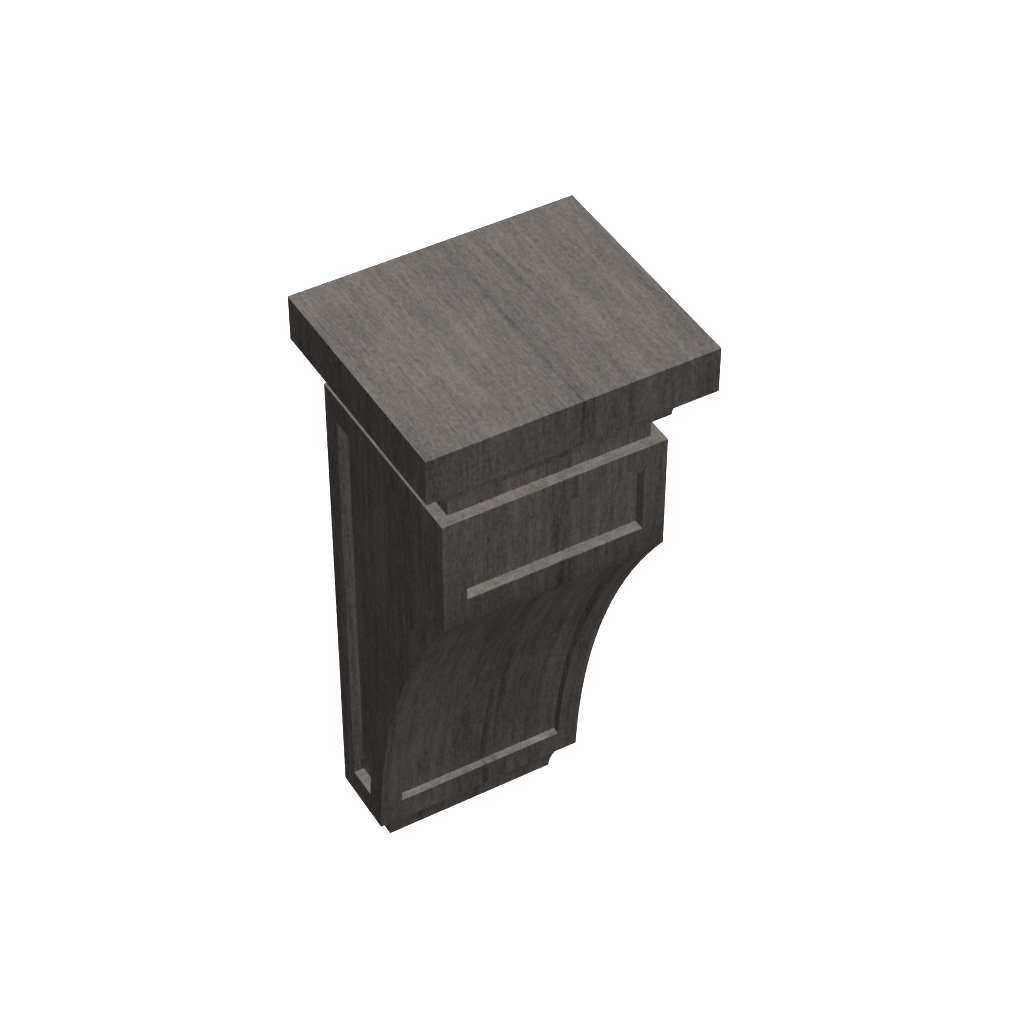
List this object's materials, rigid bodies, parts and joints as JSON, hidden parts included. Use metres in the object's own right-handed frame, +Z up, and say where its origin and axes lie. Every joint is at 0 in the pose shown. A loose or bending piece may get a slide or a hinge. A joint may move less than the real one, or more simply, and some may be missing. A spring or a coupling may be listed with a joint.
{
  "type": "corbel",
  "caption": "Wall corbel in dark stained wood: a square cap over a cove-edged board, a panelled body with a hollow front, and a small cove-edged foot.",
  "frame": {"origin": "middle of the flat back, which lies on the wall", "axes": "+Z up, +Y into the wall, so the front faces -Y, and +X to the right seen from the front"},
  "size_m": [0.1524, 0.1308, 0.3612],
  "materials": {
    "stained_wood": "fine straight grain under a matt dark grey-brown stain"
  },
  "bodies": {
    "root": {"cap": "stained_wood", "bed_mould": "stained_wood", "body": "stained_wood", "foot": "stained_wood"}
  },
  "joints": []
}
